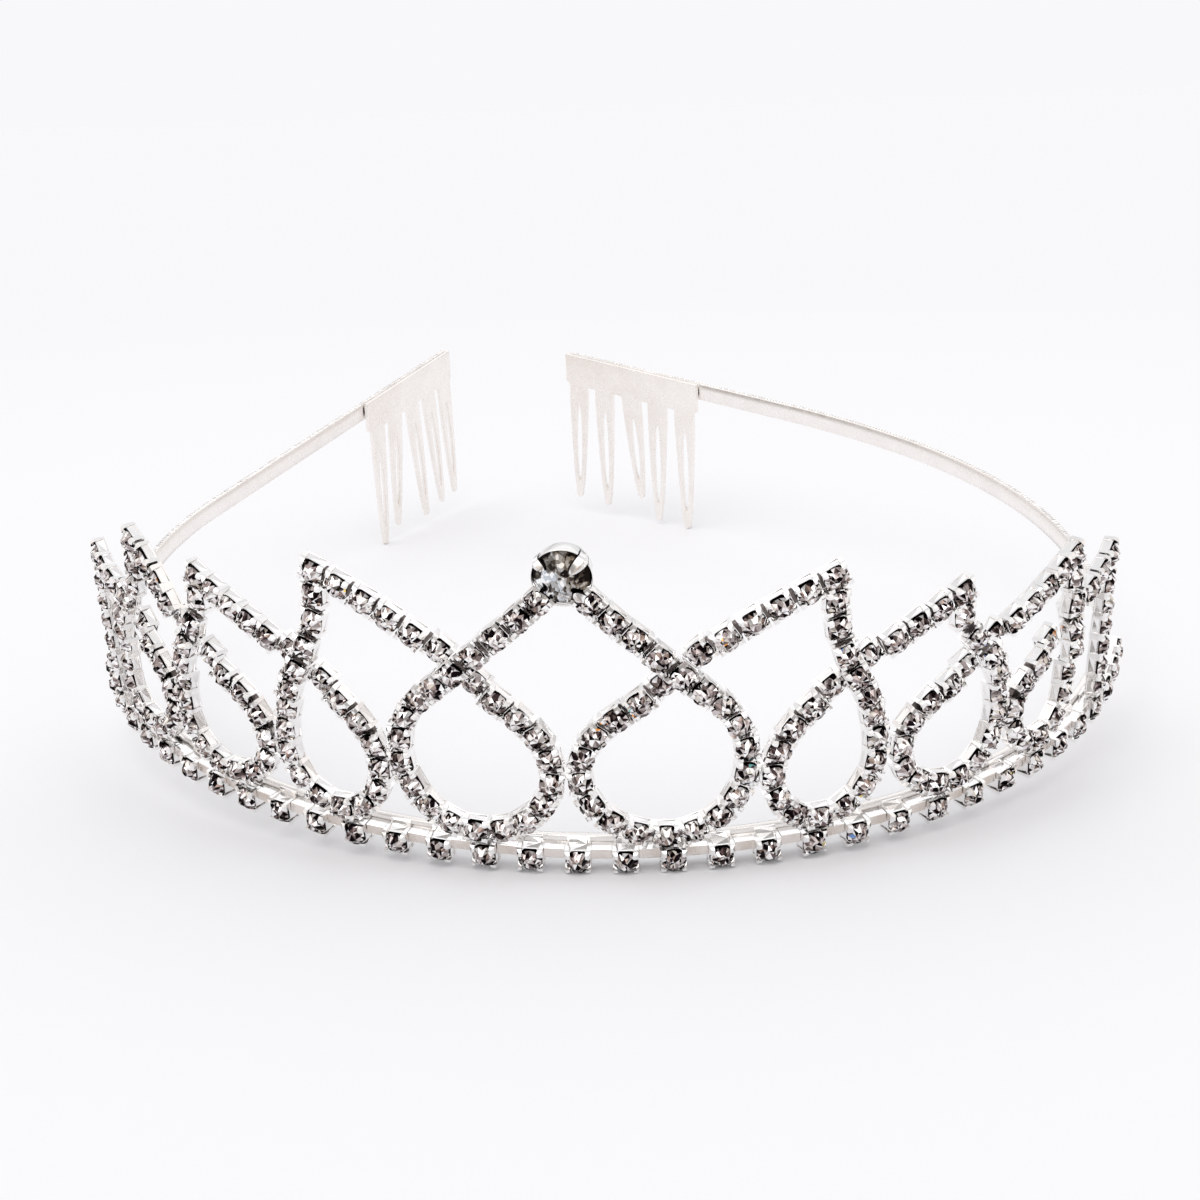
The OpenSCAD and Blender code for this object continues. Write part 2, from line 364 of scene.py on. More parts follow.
def finish_named(name, **values):
    """A new material with its one shader, and constant values on the shader itself."""
    material = bpy.data.materials.new(name)
    material.use_nodes = True
    tree = material.node_tree
    shader = tree.nodes["Principled BSDF"]
    for key, value in values.items():
        shader.inputs[key.replace("_", " ")].default_value = value
    return material, tree, shader


def stepped_ramp(tree, factor, steps, stepped=True):
    """Colour ramp of (place, colour) steps."""
    made = add_node(tree, "ShaderNodeValToRGB", Fac=factor)
    ramp = made.color_ramp
    ramp.interpolation = "CONSTANT" if stepped else "LINEAR"
    while len(ramp.elements) < len(steps):
        ramp.elements.new(1.0)
    for element, (place, colour) in zip(ramp.elements, steps):
        element.position = place
        element.color = (*colour, 1)
    return made.outputs["Color"]


def plated_metal(name, pale, deep, rough, grain):
    """Plated metal: cloudy tint, uneven polish and a fine grain in its surface."""
    material, tree, shader = finish_named(name, Metallic=1.0)
    place = add_node(tree, "ShaderNodeTexCoord").outputs["Object"]
    cloud = add_node(tree, "ShaderNodeTexNoise", Vector=place, Scale=260.0, Detail=3.0)
    tint = stepped_ramp(tree, cloud.outputs["Fac"], [(0.34, deep), (0.62, pale)], False)
    tree.links.new(tint, shader.inputs["Base Color"])
    polish = add_node(tree, "ShaderNodeTexNoise", Vector=place, Scale=900.0, Detail=2.0)
    uneven = spread(
        tree, polish.outputs["Fac"], rough * 0.85, rough * 1.25, From_Min=0.3, From_Max=0.7
    )
    tree.links.new(uneven, shader.inputs["Roughness"])
    fine = add_node(tree, "ShaderNodeTexNoise", Vector=place, Scale=3200.0, Detail=2.0)
    bump = add_node(
        tree, "ShaderNodeBump", Height=fine.outputs["Fac"],
        Strength=grain, Distance=0.00004,
    )
    tree.links.new(bump.outputs["Normal"], shader.inputs["Normal"])
    return material


def cut_glass(name, steps, mosaic, share):
    """Cut glass on foil with painted reflections: each facet throws back its own painted
    shade, broken into cells of the foil, with a painted glint of colour where a cell's and
    its facet's numbers are both high."""
    material, tree, shader = finish_named(name, Metallic=1.0)
    facet = add_node(tree, "ShaderNodeAttribute", {"attribute_name": "facet"})
    place = add_node(tree, "ShaderNodeTexCoord").outputs["Object"]
    cells = add_node(tree, "ShaderNodeTexVoronoi", Vector=place, Scale=mosaic)
    split = add_node(tree, "ShaderNodeSeparateColor", Color=cells.outputs["Color"])
    wander = spread(tree, split.outputs["Red"], -share, share)
    total = maths(tree, "FRACT", maths(tree, "ADD", facet.outputs["Fac"], wander))
    shade = stepped_ramp(tree, total, steps)
    # Painted glints: a rare cell on a high facet takes a colour of its own.
    high_cell = maths(tree, "GREATER_THAN", split.outputs["Blue"], 0.992)
    high_facet = maths(tree, "GREATER_THAN", facet.outputs["Fac"], 0.7)
    spark = maths(tree, "MULTIPLY", high_cell, high_facet)
    glint_colour = stepped_ramp(tree, split.outputs["Green"], PAINTED_GLINT_COLOURS)
    lit = add_node(
        tree, "ShaderNodeMix", {"data_type": "RGBA"}, _0=spark, _6=shade, _7=glint_colour
    )
    tree.links.new(lit.outputs[2], shader.inputs["Base Color"])
    polish = spread(tree, split.outputs["Green"], 0.06, 0.3)
    tree.links.new(polish, shader.inputs["Roughness"])
    return material


# Finishes: name, pale tint, deep tint, roughness, strength of the grain.
SILVER = plated_metal(
    "silver_plate", (0.98, 0.97, 0.965), (0.9, 0.885, 0.875), 0.14, 0.2
)
ARM_SILVER = plated_metal(
    "brushed_strip_silver", (0.955, 0.925, 0.9), (0.92, 0.885, 0.86), 0.28, 0.02
)
# Painted shade: a darker silver for the outer face and lower edge of the bare arms, the
# strip's ends and the combs' side towards the strip.
OUTER_FACE_PAINTED_SHADE = plated_metal(
    "outer_face_silver", (0.86, 0.835, 0.815), (0.76, 0.73, 0.705), 0.2, 0.05
)
# Painted shade: a darker beige steel for the fronts of the row's links and for one flank
# of each centre claw.
PAINTED_SHADE_STEEL = plated_metal(
    "link_steel", (0.87, 0.81, 0.77), (0.68, 0.6, 0.54), 0.24, 0.3
)
COMB_STEEL = plated_metal(
    "comb_steel", (0.95, 0.915, 0.885), (0.925, 0.88, 0.845), 0.28, 0.02
)
# Painted shade: a near-black finish for the insides of the cups, the girdles and backs of
# the stones, and the collar's inner wall and claw skirts.
CUP_SHADOW = plated_metal(
    "inside_of_cup", (0.03, 0.022, 0.022), (0.008, 0.006, 0.006), 0.4, 0.3
)
# Painted shade: a dark finish for the joints, standing for the shadow in the gaps between
# chain cups.
JOINT_PAINTED_SHADE = plated_metal(
    "shaded_joint", (0.22, 0.19, 0.18), (0.05, 0.04, 0.04), 0.3, 0.3
)

# Painted reflections that a facet can throw back, from 0 to 1: of the clear stones, the
# colours of a painted glint, and of the smoky centre.
CRYSTAL_PAINTED_REFLECTIONS = [
    (0.0, (0.005, 0.003, 0.004)),
    (0.18, (0.05, 0.033, 0.033)),
    (0.25, (0.18, 0.14, 0.135)),
    (0.34, (0.38, 0.325, 0.32)),
    (0.45, (0.62, 0.56, 0.55)),
    (0.57, (0.83, 0.79, 0.8)),
    (0.68, (1.0, 0.99, 0.99)),
    (0.9, (0.3, 0.22, 0.19)),
    (0.94, (0.72, 0.66, 0.6)),
]
PAINTED_GLINT_COLOURS = [
    (0.0, (1.0, 0.4, 0.1)),
    (0.4, (1.0, 0.78, 0.25)),
    (0.62, (0.3, 0.5, 1.0)),
    (0.86, (0.3, 0.8, 0.8)),
]
SMOKE_PAINTED_REFLECTIONS = [
    (0.0, (0.012, 0.01, 0.01)),
    (0.18, (0.06, 0.05, 0.045)),
    (0.3, (0.16, 0.14, 0.12)),
    (0.43, (0.29, 0.27, 0.25)),
    (0.56, (0.43, 0.43, 0.43)),
    (0.69, (0.57, 0.61, 0.66)),
    (0.86, (0.95, 0.96, 0.97)),
]
# The stones of the row get darker painted reflections.
DARKER_PAINTED_REFLECTIONS = [(place ** 0.72, colour) for place, colour in CRYSTAL_PAINTED_REFLECTIONS]
# Size of the cells that break up the painted reflections, and how far a cell shifts its
# facet's shade.
PAINTED_REFLECTION_CELLS = 1350.0
CELL_SHARE = 0.34
CRYSTAL = cut_glass("crystal_on_foil", CRYSTAL_PAINTED_REFLECTIONS, PAINTED_REFLECTION_CELLS, CELL_SHARE)
ROW_CRYSTAL = cut_glass("row_crystal_on_foil", DARKER_PAINTED_REFLECTIONS, PAINTED_REFLECTION_CELLS, CELL_SHARE)


def facet_share(tree):
    """Each facet's own number, drawn in towards the middle of the range."""
    facet = add_node(tree, "ShaderNodeAttribute", {"attribute_name": "facet"})
    return spread(tree, facet.outputs["Fac"], 0.45, 0.6)


def smoke_glass(name, middle, radius, drift):
    """Smoky glass with painted reflections: broken patches, painted light paler and bluer
    low on the left, painted shade darker to the right and at the edge, and browner to the
    right. Drift picks the pattern of the patches."""
    material, tree, shader = finish_named(name, Metallic=1.0)
    place = add_node(tree, "ShaderNodeTexCoord").outputs["Object"]
    stir = add_node(tree, "ShaderNodeTexNoise", Vector=place, Scale=700.0, Detail=2.0)
    shift = add_node(
        tree, "ShaderNodeVectorMath", {"operation": "SCALE"},
        _0=stir.outputs["Color"], Scale=0.0006,
    )
    moved = add_node(
        tree, "ShaderNodeVectorMath", {"operation": "ADD"},
        _0=place, _1=shift.outputs["Vector"],
    ).outputs["Vector"]
    parts = [facet_share(tree)]
    for scale, share in ((700.0, 0.4), (1900.0, 0.28)):
        cells = add_node(
            tree, "ShaderNodeTexVoronoi", {"voronoi_dimensions": "4D"},
            Vector=moved, W=drift, Scale=scale,
        )
        split = add_node(tree, "ShaderNodeSeparateColor", Color=cells.outputs["Color"])
        parts.append(spread(tree, split.outputs["Red"], -share, share))
    from_middle = add_node(
        tree, "ShaderNodeVectorMath", {"operation": "SUBTRACT"}, _0=place, _1=middle
    )
    # Painted light: paler low on the left, darker to the right.
    painted_light_low_left = add_node(
        tree, "ShaderNodeVectorMath", {"operation": "DOT_PRODUCT"},
        _0=from_middle.outputs["Vector"],
        _1=(-0.34 / radius, 0.0, -0.14 / radius),
    )
    parts.append(painted_light_low_left.outputs["Value"])
    away = add_node(
        tree, "ShaderNodeVectorMath", {"operation": "LENGTH"},
        _0=from_middle.outputs["Vector"],
    )
    # Painted shade darkens the glass towards its edge.
    edge = add_node(
        tree, "ShaderNodeMapRange", {"interpolation_type": "SMOOTHSTEP"},
        Value=away.outputs["Value"], From_Min=0.84 * radius, From_Max=0.97 * radius,
        To_Min=0.0, To_Max=-0.3,
    )
    parts.append(edge.outputs["Result"])
    total = parts[0]
    for part in parts[1:]:
        total = maths(tree, "ADD", total, part)
    shade = stepped_ramp(tree, total, SMOKE_PAINTED_REFLECTIONS)
    brown = spread(
        tree, painted_light_low_left.outputs["Value"], 0.0, 1.0, From_Min=0.1, From_Max=-0.3
    )
    tinted = add_node(
        tree, "ShaderNodeMix", {"data_type": "RGBA", "blend_type": "MULTIPLY"},
        _0=brown, _6=shade, _7=(1.0, 0.86, 0.73, 1.0),
    )
    tree.links.new(tinted.outputs[2], shader.inputs["Base Color"])
    shader.inputs["Roughness"].default_value = 0.1
    return material


# Small patterns.


def pattern(name, points, faces, inside=()):
    """A small shape to be repeated. Faces numbered in inside take the second finish: a
    painted shade in the cups and on the stones' girdles, plain silver on the tops of the
    links.
    """
    piece = mesh_piece(name, points, faces)
    store = piece.data.attributes.new("inside", "BOOLEAN", "FACE")
    store.data.foreach_set("value", [i in inside for i in range(len(faces))])
    return piece


def rectangle(a, b, z):
    """Corners of a rectangle at a level."""
    return [(a, b, z), (-a, b, z), (-a, -b, z), (a, -b, z)]


def cut_square(a, b, cut, z):
    """Rectangle with its corners cut off."""
    return [
        (a, b - cut, z), (a - cut, b, z), (cut - a, b, z), (-a, b - cut, z),
        (-a, cut - b, z), (cut - a, -b, z), (a - cut, -b, z), (a, cut - b, z),
    ]


def stone_cup(name, a, b, back, lip, claws):
    """Cup with a flange behind, a hollowed wall a little out of true, a thin lip, an
    inside in painted shade and a claw at each corner. Claws are the (width, length) of the
    upper pair and of the lower pair. +Z faces out and +X runs along the chain."""
    # Inset, cut of the corners, level and twist of each ring, from the back to the inside.
    wall = [
        (0.2, 0.2, back, 0), (0.05, 0.25, back + 0.08, 0), (0.05, 0.3, back + 0.2, 0),
        (0.15, 0.35, back + 0.27, 0.035), (0.15, 0.5, lip - 0.24, -0.035),
        (0.07, 0.55, lip - 0.18, 0), (0.08, 0.6, lip, 0), (0.17, 0.6, lip - 0.02, 0),
        (0.3, 0.6, lip - 0.3, 0),
    ]
    points = []
    for inset, cut, z, twist in wall:
        for k, (x, y, level) in enumerate(cut_square(a - inset, b - inset, cut, z)):
            shrink = 1 + twist * (-1) ** k
            points.append((x * shrink, y * shrink, level))
    last = 8 * (len(wall) - 1)
    faces = ring_walls(len(wall), 8)
    faces += [tuple(range(7, -1, -1)), tuple(range(last, last + 8))]
    # The last wall and the closed end inside it take a painted shade.
    inside = {len(faces) - 1} | set(range(last - 8, last))
    for sx, sy in ((1, 1), (-1, 1), (-1, -1), (1, -1)):
        n = len(points)
        claw = claws[0 if sy > 0 else 1]
        points += claw_points(sx * a, sy * b, back, lip, sx, sy, claw)
        turned = sx * sy < 0
        for face in ring_walls(4, 4) + [(3, 2, 1, 0), (12, 13, 14, 15)]:
            face = tuple(n + i for i in face)
            faces.append(face[::-1] if turned else face)
    return pattern(name, points, faces, inside)


def claw_points(x, y, back, lip, sx, sy, claw):
    """A claw that runs up a corner from the back and folds in over the stone."""
    rows = []
    width, length = claw
    # Inset from the corner, share of the claw's size, and level.
    for inset, share, z in (
        (0.04, 0.7, back + 0.05),
        (0.0, 0.95, lip + 0.05),
        (0.05, 1.05, lip + 0.38),
        (0.3, 0.62, lip + 0.6),
    ):
        x0, y0 = x - sx * inset, y - sy * inset
        x1, y1 = x0 - sx * share * width, y0 - sy * share * length
        rows += [(x0, y0, z), (x1, y0, z), (x1, y1, z), (x0, y1, z)]
    return rows


def cut_stone(name, radius, table, belt, crown, dip, turn=0.0):
    """Round stone: a table split by what shows through it, star facets, kites and
    a belt of small facets down to the girdle."""
    def ring(count, r, z, shift):
        return [
            (r * math.cos(t), r * math.sin(t), z)
            for t in (turn + (i + shift) * 2 * math.pi / count for i in range(count))
        ]

    # A point a little off the middle, so that no two parts of the table are alike.
    points = [(0.12 * radius, 0.08 * radius, crown - dip)]
    points += ring(8, radius * table, crown, 0)
    points += ring(8, radius * belt, crown * 0.33, 0.5)
    points += ring(16, radius, 0, 0)
    points += ring(16, radius * 0.97, -0.16, 0)
    # Number of the first point of the table, the belt, the girdle and the back.
    on_table, on_belt, on_girdle, on_back = 1, 9, 17, 33
    faces = []
    for i in range(8):
        j = (i + 1) % 8
        a, b, c = on_table + i, on_table + j, on_belt + i
        g = [on_girdle + (2 * i + k) % 16 for k in range(3)]
        faces += [(0, a, b), (a, c, b), (c, g[0], g[1]), (c, g[1], g[2])]
        faces.append((a, on_belt + (i - 1) % 8, g[0], c))
    crown_faces = len(faces)
    for i in range(16):
        j = (i + 1) % 16
        faces.append((on_girdle + i, on_back + i, on_back + j, on_girdle + j))
    faces.append(tuple(range(on_back + 15, on_back - 1, -1)))
    # The girdle and the back take the second finish, a painted shade that outlines each
    # stone.
    return pattern(name, points, faces, range(crown_faces, len(faces)))


def joint_bar(name, length, width, low, high, bevel=0.12, top=()):
    """Short bar between two cups, bevelled on its front. Faces numbered in top take
    the second finish."""
    points = (
        rectangle(length, width, low)
        + rectangle(length, width, high - bevel)
        + rectangle(length, width - bevel, high)
    )
    return pattern(name, points, ring_walls(3, 4) + [(3, 2, 1, 0), (8, 9, 10, 11)], top)


# Geometry Nodes.


SOCKETS = {
    "Patterns": "NodeSocketCollection",
    "Kinds": "NodeSocketInt",
    "Spin": "NodeSocketFloat",
    "Lean": "NodeSocketFloat",
    "Seed": "NodeSocketInt",
    "Finish": "NodeSocketMaterial",
    "Inside finish": "NodeSocketMaterial",
}


def setting_tree():
    """Sets a pattern on each mark, faces out, and gives each facet a number."""
    tree = bpy.data.node_groups.new("set_on_marks", "GeometryNodeTree")
    face = tree.interface
    face.new_socket("Geometry", in_out="INPUT", socket_type="NodeSocketGeometry")
    for label, kind in SOCKETS.items():
        face.new_socket(label, in_out="INPUT", socket_type=kind)
    face.new_socket("Geometry", in_out="OUTPUT", socket_type="NodeSocketGeometry")
    given = tree.nodes.new("NodeGroupInput").outputs
    ways = [
        add_node(
            tree, "GeometryNodeInputNamedAttribute", {"data_type": "FLOAT_VECTOR"},
            Name=label,
        ).outputs["Attribute"]
        for label in ("outward", "along")
    ]
    turn = add_node(
        tree, "FunctionNodeAxesToRotation",
        {"primary_axis": "Z", "secondary_axis": "X"},
        Primary_Axis=ways[0], Secondary_Axis=ways[1],
    )
    shelf = add_node(
        tree, "GeometryNodeCollectionInfo", Collection=given["Patterns"],
        Separate_Children=True, Reset_Children=True,
    )
    last_kind = maths(tree, "SUBTRACT", given["Kinds"], 1.0)
    pick = add_node(
        tree, "FunctionNodeRandomValue", {"data_type": "INT"},
        _4=0, _5=last_kind, Seed=given["Seed"],
    )
    placed = add_node(
        tree, "GeometryNodeInstanceOnPoints", Points=given["Geometry"],
        Instance=shelf.outputs["Instances"], Pick_Instance=True,
        Instance_Index=pick.outputs[2], Rotation=turn.outputs["Rotation"],
    )
    # Turns about the pattern's X, Y and Z, each drawn with a seed of its own.
    tips = []
    for share in (given["Lean"], given["Lean"], given["Spin"]):
        low = maths(tree, "MULTIPLY", share, -1.0)
        number = maths(tree, "ADD", given["Seed"], 11.0 * (len(tips) + 1))
        drawn = add_node(
            tree, "FunctionNodeRandomValue", {"data_type": "FLOAT"},
            _2=low, _3=share, Seed=number,
        )
        tips.append(drawn.outputs[1])
    tip = add_node(tree, "ShaderNodeCombineXYZ", X=tips[0], Y=tips[1], Z=tips[2])
    tipped = add_node(
        tree, "GeometryNodeRotateInstances", Instances=placed.outputs["Instances"],
        Rotation=tip.outputs["Vector"], Local_Space=True,
    )
    solid = add_node(
        tree, "GeometryNodeRealizeInstances", Geometry=tipped.outputs["Instances"]
    )
    chance = add_node(
        tree, "FunctionNodeRandomValue", {"data_type": "FLOAT"},
        _2=0.0, _3=1.0, Seed=given["Seed"],
    )
    numbered = add_node(
        tree, "GeometryNodeStoreNamedAttribute",
        {"data_type": "FLOAT", "domain": "FACE"},
        Geometry=solid.outputs["Geometry"], Name="facet", _3=chance.outputs[1],
    )
    plated = add_node(
        tree, "GeometryNodeSetMaterial", Geometry=numbered.outputs["Geometry"],
        Material=given["Finish"],
    )
    # Faces marked inside take the second finish: painted shade in cups and on stones,
    # plain silver on the links' lit tops.
    inner = add_node(
        tree, "GeometryNodeInputNamedAttribute", {"data_type": "BOOLEAN"},
        Name="inside",
    )
    light_or_shade_painted = add_node(
        tree, "GeometryNodeSetMaterial", Geometry=plated.outputs["Geometry"],
        Selection=inner.outputs["Attribute"], Material=given["Inside finish"],
    )
    add_node(tree, "NodeGroupOutput", Geometry=light_or_shade_painted.outputs["Geometry"])
    return tree


SETTING_TREE = setting_tree()


def set_on_marks(marks, shelf, finish, inside=None, spin=0.0, lean=0.0, seed=1):
    """Runs the tree on a piece of marks and leaves the result as its plain mesh."""
    values = {
        "Patterns": shelf,
        "Kinds": len(shelf.objects),
        "Spin": spin,
        "Lean": lean,
        "Seed": seed,
        "Finish": finish,
        "Inside finish": inside or finish,
    }
    run = marks.modifiers.new("set_on_marks", "NODES")
    run.node_group = SETTING_TREE
    for socket in SETTING_TREE.interface.items_tree:
        if socket.in_out == "INPUT" and socket.name in values:
            run[socket.identifier] = values[socket.name]
    graph = bpy.context.evaluated_depsgraph_get()
    mesh = bpy.data.meshes.new_from_object(marks.evaluated_get(graph), depsgraph=graph)
    marks.modifiers.remove(run)
    mesh.name = marks.name
    marks.data = mesh
    return marks


def shelf_of(name, *patterns):
    """Collection of patterns, kept out of the scene."""
    shelf = bpy.data.collections.new(name)
    for piece in patterns:
        bpy.context.scene.collection.objects.unlink(piece)
        shelf.objects.link(piece)
    return shelf


def clear_shelves():
    """Deletes the shelves and their patterns, once everything is set."""
    kept = [shelf.name for shelf in bpy.context.scene.collection.children]
    for shelf in [s for s in bpy.data.collections if s.name not in kept]:
        for piece in list(shelf.objects):
            bpy.data.objects.remove(piece)
        bpy.data.collections.remove(shelf)


# Cups: half-length, half-width, back, lip, claws.
CHAIN_CUP = shelf_of(
    "chain_cup", stone_cup("chain_cup_a", 1.45, 1.38, -0.62, 0.6, [(0.56, 0.56)] * 2)
)
ROW_CUP = shelf_of(
    "row_cup", stone_cup("row_cup_a", 1.43, 1.4, -1.0, 0.72, [(0.5, 0.85), (0.42, 0.42)])
)
# Stones: radius, table and belt as shares of it, crown, dip of the table, turn.
CHAIN_STONES = shelf_of(
    "chain_stones",
    cut_stone("chain_stone_a", 1.34, 0.42, 0.7, 0.74, 0.14),
    cut_stone("chain_stone_b", 1.32, 0.46, 0.73, 0.68, 0.22, 0.2),
    cut_stone("chain_stone_c", 1.35, 0.36, 0.67, 0.78, 0.06, 0.35),
)
ROW_STONES = shelf_of(
    "row_stones",
    cut_stone("row_stone_a", 1.3, 0.44, 0.7, 0.74, 0.14),
    cut_stone("row_stone_b", 1.28, 0.48, 0.73, 0.68, 0.22, 0.25),
    cut_stone("row_stone_c", 1.3, 0.4, 0.68, 0.78, 0.08, 0.4),
)
# Bars: half-length, half-width, back, front.
CHAIN_JOINT = shelf_of("chain_joint", joint_bar("chain_joint_a", 0.32, 0.8, -0.52, 0.05))
# The link's upper faces take plain silver, lighter than the painted shade of its front.
ROW_LINK = shelf_of(
    "row_link", joint_bar("row_link_a", 1.1, 0.6, -0.95, 0.45, 0.05, (0, 4))
)
ROW_PAD = shelf_of("row_pad", joint_bar("row_pad_a", 1.2, 0.42, -0.1, 0.2))
MILLING = shelf_of("milling", joint_bar("milling_tick", 0.16, 0.36, -0.15, 0.16))


# Loops.


def smooth_step(t):
    """Eases from 0 to 1."""
    return t * t * (3 - 2 * t)


def curve_between(a, b, pull, steps=60):
    """Smooth curve between two (distance, height, heading in degrees)."""
    t = np.linspace(0, 1, steps + 1)[:, None]
    a_at, b_at = np.array(a[:2], float), np.array(b[:2], float)
    far = np.linalg.norm(b_at - a_at) * pull
    a_go, b_go = (
        far * np.array([math.cos(math.radians(h)), math.sin(math.radians(h))])
        for h in (a[2], b[2])
    )
    return (
        (2 * t**3 - 3 * t**2 + 1) * a_at
        + (t**3 - 2 * t**2 + t) * a_go
        + (3 * t**2 - 2 * t**3) * b_at
        + (t**3 - t**2) * b_go
    )


def evenly(route, pitch, lead_in=0.0, lead_out=0.0):
    """Places along a route at about that pitch, first and last included, with their
    headings. A lead draws the places at that end nearer to it."""
    steps = np.linalg.norm(np.diff(route, axis=0), axis=1)
    far = np.concatenate([[0], np.cumsum(steps)])
    count = max(1, round((far[-1] + lead_in + lead_out) / pitch))
    at = np.clip(np.linspace(-lead_in, far[-1] + lead_out, count + 1), 0, far[-1])
    places = np.stack([np.interp(at, far, route[:, k]) for k in (0, 1)], 1)
    # A heading is read over a short step to each side.
    step = 0.3
    near = [
        np.interp(np.clip(at + d, 0, far[-1]), far, route[:, k])
        for d in (-step, step)
        for k in (0, 1)
    ]
    lean = np.arctan2(near[3] - near[1], near[2] - near[0])
    return [(p[0], p[1], a) for p, a in zip(places, lean)]


def loop_places(loops, index):
    """Cups of one loop as (distance, height, heading, shift), from its start beside
    the peak before it to its own peak."""
    cross, outer, base, inner, peak = loops[index]
    if index == 0:
        start = (FIRST_STEP[0], GLASS_RISE - FIRST_STEP[1])
        begin, down, up = FIRST_HEADINGS
    else:
        before = loops[index - 1][4]
        start = (before[0] + NEXT_STEP[0], before[1] - NEXT_STEP[1])
        begin, down, up = NEXT_HEADINGS
    fall = curve_between((*start, begin), (*cross, down), 1.0)
    stops = [(*cross, down), (*outer, -90), (*base, 180), (*inner, 90), (*cross, up)]
    quarters = [curve_between(a, b, LOOP_PULL) for a, b in zip(stops, stops[1:])]
    round_base = np.concatenate([quarters[0]] + [q[1:] for q in quarters[1:]])
    rise = curve_between((*cross, up), (*peak, PEAK_HEADING), 1.0)
    falling = evenly(fall, CHAIN_PITCH)
    ring = evenly(round_base, CHAIN_PITCH, lead_out=CROSS_LEAD)
    rising = evenly(rise, CHAIN_PITCH, lead_in=CROSS_LEAD)
    half = len(ring) // 2
    front = [(p, 1) for p in falling + ring[1:half]]
    back = [(p, -1) for p in ring[half:-1] + rising[1:]]
    places = []
    for (s, w, lean), side in front + back:
        far = math.hypot(s - cross[0], w - cross[1])
        ease = 1 - smooth_step(min(max((far - CROSS_FLAT) / CROSS_EASE, 0), 1))
        places.append((s, w, lean, side * CROSS_SHIFT * ease))
    return places


def drop_places(side, loops):
    """Cups of the straight strand from the last peak down to the row."""
    top = loops[3][4][1] - DROP_STEP
    count = round((top - DROP_FOOT) / CHAIN_PITCH) + 1
    return [
        (DROP_PLACE[side], top + (DROP_FOOT - top) * i / (count - 1), -math.pi / 2, 0)
        for i in range(count)
    ]


def chain_marks(name, places, sign, lift):
    """Marks of chain places on the right side (1) or the left (-1), lift above them."""
    marks = []
    for s, w, lean, shift in places:
        turn = lean if sign > 0 else math.pi - lean
        outward, along = ways_at(sign * s, turn)
        marks.append((on_strip(sign * s, w, CHAIN_REACH + shift + lift), outward, along))
    return place_marks(name, marks)


def between(places):
    """Places half-way between neighbours, apart from where two strands only meet."""
    middles = []
    for a, b in zip(places, places[1:]):
        if math.hypot(a[0] - b[0], a[1] - b[1]) > 1.4 * CHAIN_PITCH:
            continue
        lean = math.atan2(b[1] - a[1], b[0] - a[0])
        middles.append(((a[0] + b[0]) / 2, (a[1] + b[1]) / 2, lean, (a[3] + b[3]) / 2))
    return middles


def cup_chain(name, places, sign, seed):
    """Cups, stones and joints of one strand of chain, in place of its metal node."""
    cups = chain_marks(name + "_cups", places, sign, 0)
    set_on_marks(cups, CHAIN_CUP, SILVER, CUP_SHADOW, spin=0.03, lean=0.05, seed=seed)
    keep(cups, "loop_stones", name)
    low = [(s, w - STONE_DROP, lean, shift) for s, w, lean, shift in places]
    stones = chain_marks(name + "_stones", low, sign, STONE_LIFT)
    set_on_marks(
        stones, CHAIN_STONES, CRYSTAL, CUP_SHADOW, spin=3.1, lean=0.09, seed=seed + 1
    )
    keep(stones, "loop_stones")
    # Joints in painted shade fill the gaps between neighbouring cups.
    joints = chain_marks(name + "_joints", between(places), sign, 0)
    set_on_marks(joints, CHAIN_JOINT, JOINT_PAINTED_SHADE, seed=seed + 2)
    keep(joints, "loop_stones")


for side, loops, sign in (("left", LEFT_LOOPS, -1), ("right", RIGHT_LOOPS, 1)):
    for index in range(4):
        name = f"loop_{side}_{index + 1}"
        seed = 100 * (index + 1) + (50 if sign > 0 else 0)
        cup_chain(name, loop_places(loops, index), sign, seed)
    cup_chain("drop_" + side, drop_places(side, loops), sign, 700 + sign)


# Stone row.


row_stops = [ROW_START + ROW_PITCH * k for k in range(-ROW_LEFT, ROW_RIGHT + 1)]


def row_marks(name, stops, w, reach):
    """Marks along the strip at a height and a reach."""
    return place_marks(name, [(on_strip(s, w, reach), *ways_at(s)) for s in stops])


row_cups = row_marks("row_cups", row_stops, ROW_HEIGHT, ROW_REACH)
keep(
    set_on_marks(row_cups, ROW_CUP, SILVER, CUP_SHADOW, spin=0.03, lean=0.04, seed=21),
    "row_stones", "stone_row",
)
row_glass = row_marks(
    "row_cut_stones", row_stops, ROW_HEIGHT - ROW_STONE_DROP, ROW_REACH + ROW_STONE_LIFT
)
keep(
    set_on_marks(
        row_glass, ROW_STONES, ROW_CRYSTAL, CUP_SHADOW, spin=3.1, lean=0.09, seed=22
    ),
    "row_stones",
)
row_pads = row_marks("row_pads", row_stops, *PAD_PLACE)
keep(set_on_marks(row_pads, ROW_PAD, SILVER, spin=0.02, lean=0.03, seed=24), "row_stones")
link_stops = [s + ROW_PITCH / 2 for s in row_stops[:-1]]
row_links = row_marks("row_links", link_stops, *LINK_PLACE)
# The links' fronts take the painted shade steel and their upper faces plain silver, as if
# lit from above.
keep(
    set_on_marks(
        row_links, ROW_LINK, PAINTED_SHADE_STEEL, SILVER, spin=0.02, lean=0.02, seed=23
    ),
    "band_metal",
)


# Headband.


